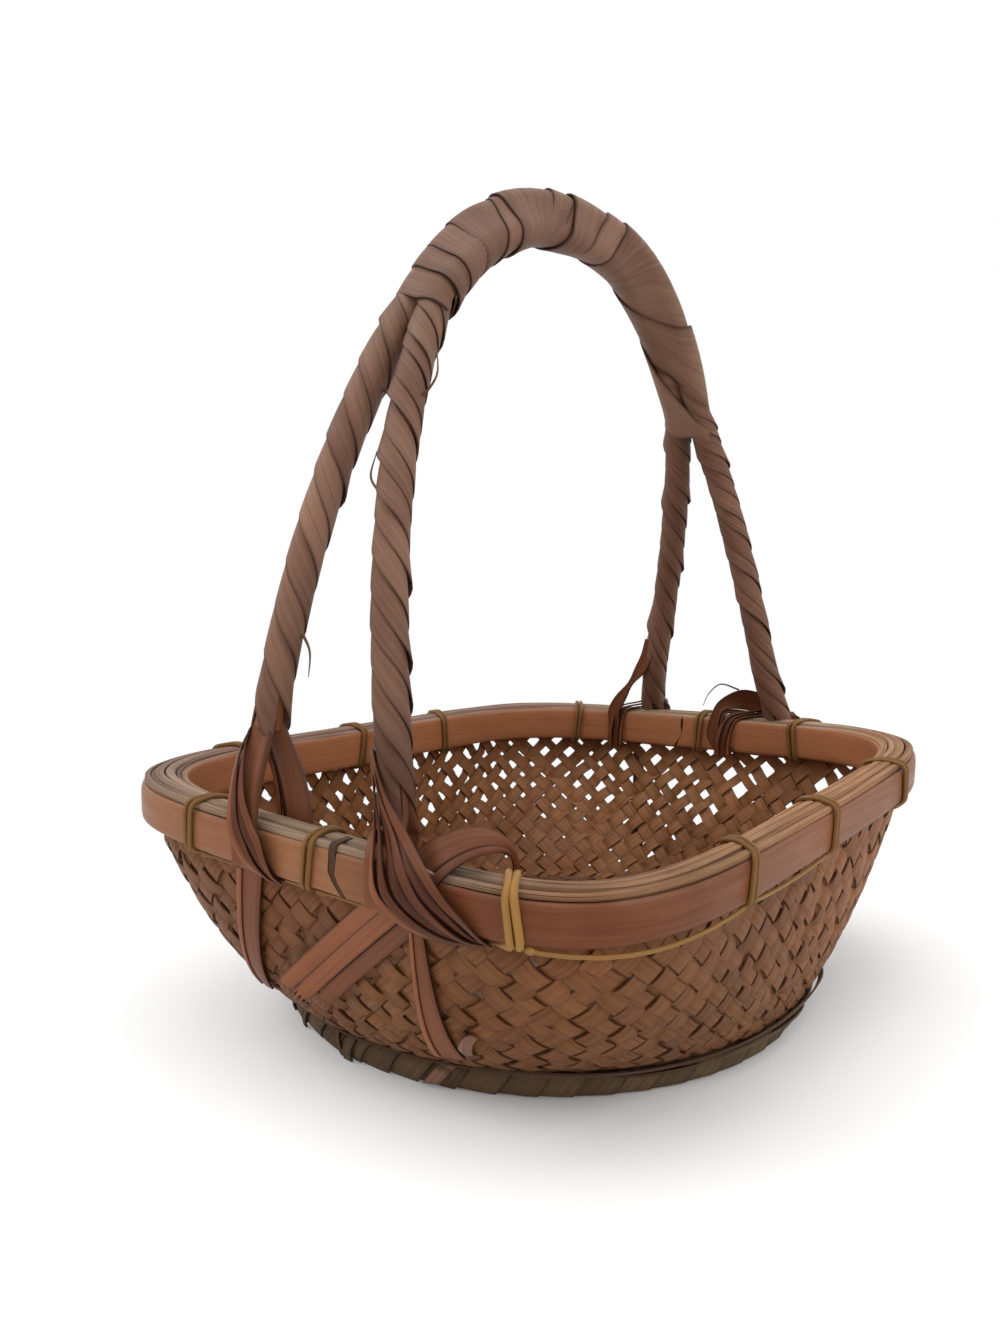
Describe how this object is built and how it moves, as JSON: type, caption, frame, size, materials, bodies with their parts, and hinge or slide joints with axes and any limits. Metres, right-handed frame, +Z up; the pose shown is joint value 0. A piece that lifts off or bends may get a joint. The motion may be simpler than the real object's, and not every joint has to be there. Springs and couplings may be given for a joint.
{
  "type": "ikebana basket",
  "caption": "Squared flower basket of split bamboo: a twill-woven bowl on a wound foot ring, a laced rim of hoops, and a tall arched handle of crossed wrapped rods.",
  "frame": {"origin": "on the ground under the middle of the basket", "axes": "+Z up, +X across the handle, +Y along the handle towards its far legs"},
  "size_m": [0.1922, 0.2372, 0.2498],
  "materials": {
    "weave": "satin",
    "hoop": "satin",
    "splint": "matte",
    "cane": "satin",
    "rod": "satin",
    "wrapping": "satin",
    "lashing": "satin",
    "foot": "matte"
  },
  "bodies": {
    "root": {"woven_body": "weave", "foot_ring": "foot", "foot_wrap": "foot", "rim_outer_hoop": "hoop", "rim_inner_hoop": "hoop", "rim_splint_1": "splint", "rim_splint_2": "splint", "rim_splint_3": "splint", "rim_splint_4": "splint", "rim_lacing": "cane", "handle_rod_outer": "rod", "handle_rod_inner": "rod", "grip_wrap": "wrapping", "leg_wrap_near_outer": "wrapping", "leg_wrap_near_inner": "wrapping", "leg_wrap_far_outer": "wrapping", "leg_wrap_far_inner": "wrapping", "leg_lashing_near_outer": "lashing", "leg_lashing_near_inner": "lashing", "leg_lashing_far_outer": "lashing", "leg_lashing_far_inner": "lashing", "wall_strap_near_outer": "lashing", "wall_strap_near_inner": "lashing", "wall_strap_far_outer": "lashing", "wall_strap_far_inner": "lashing", "bow_near": "lashing", "bow_far": "lashing", "bow_tail_near": "lashing", "leg_stay_far": "lashing"}
  },
  "joints": []
}
